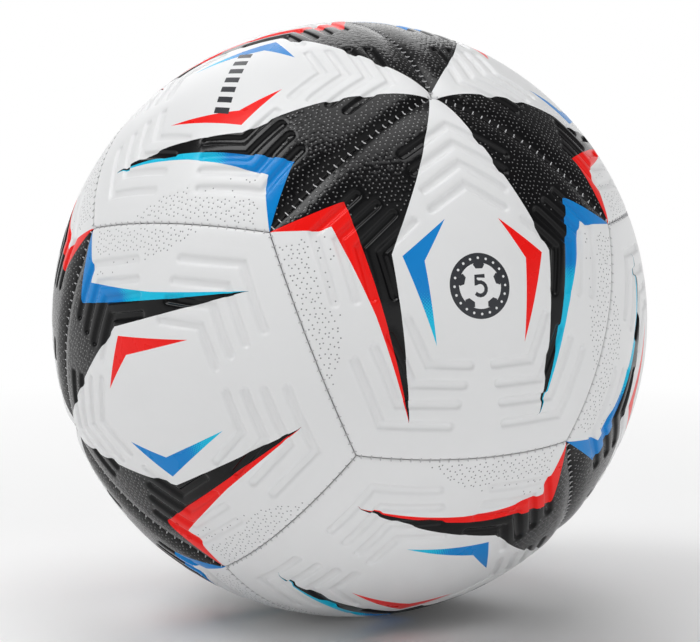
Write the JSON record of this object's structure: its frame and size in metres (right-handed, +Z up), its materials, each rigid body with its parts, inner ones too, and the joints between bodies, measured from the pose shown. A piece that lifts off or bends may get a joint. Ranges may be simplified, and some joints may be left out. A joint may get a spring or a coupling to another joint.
{
  "type": "soccer ball",
  "caption": "Stitched pentagon-panel soccer ball with embossed printed covers, foam and cloth backing, rubber bladder, seam threads and a pull-out inflation valve core.",
  "frame": {"origin": "centre of the ball", "axes": "+Z up, -Y to the front, where the badge panel faces, +X to the right of somebody who looks along +Y"},
  "size_m": [0.22, 0.22, 0.22],
  "materials": {
    "cover": "satin embossed synthetic leather, printed",
    "foam": "closed-cell foam",
    "lining": "woven backing cloth",
    "thread": "waxed polyester thread",
    "bladder": "matte rubber",
    "valve": "satin moulded rubber",
    "valve_core": "soft moulded rubber"
  },
  "bodies": {
    "ball": {"cover_skin_01": "cover", "cover_skin_02": "cover", "cover_skin_03": "cover", "cover_skin_04": "cover", "cover_skin_05": "cover", "cover_skin_06": "cover", "cover_skin_07": "cover", "cover_skin_08": "cover", "cover_skin_09": "cover", "cover_skin_10": "cover", "cover_skin_11": "cover", "cover_skin_12": "cover", "foam_layer_01": "foam", "foam_layer_02": "foam", "foam_layer_03": "foam", "foam_layer_04": "foam", "foam_layer_05": "foam", "foam_layer_06": "foam", "foam_layer_07": "foam", "foam_layer_08": "foam", "foam_layer_09": "foam", "foam_layer_10": "foam", "foam_layer_11": "foam", "foam_layer_12": "foam", "lining_01": "lining", "lining_02": "lining", "lining_03": "lining", "lining_04": "lining", "lining_05": "lining", "lining_06": "lining", "lining_07": "lining", "lining_08": "lining", "lining_09": "lining", "lining_10": "lining", "lining_11": "lining", "lining_12": "lining", "seam_thread_apex_1": "thread", "seam_thread_apex_2": "thread", "seam_thread_apex_3": "thread", "seam_thread_apex_4": "thread", "seam_thread_base_1": "thread", "seam_thread_base_2": "thread", "seam_thread_base_3": "thread", "seam_thread_base_4": "thread", "seam_thread_bridge_1": "thread", "seam_thread_bridge_2": "thread", "seam_thread_bridge_3": "thread", "seam_thread_bridge_4": "thread", "seam_thread_bridge_5": "thread", "seam_thread_bridge_6": "thread", "bladder": "bladder", "balance_patch": "bladder", "valve_housing": "valve"},
    "valve_core": {"valve_core": "valve_core"}
  },
  "joints": [
    {"name": "valve_core_pull", "type": "slide", "parent": "ball", "child": "valve_core", "axis": [-0.3872, 0.899, -0.2045], "range_m": [0, 0.02]}
  ]
}
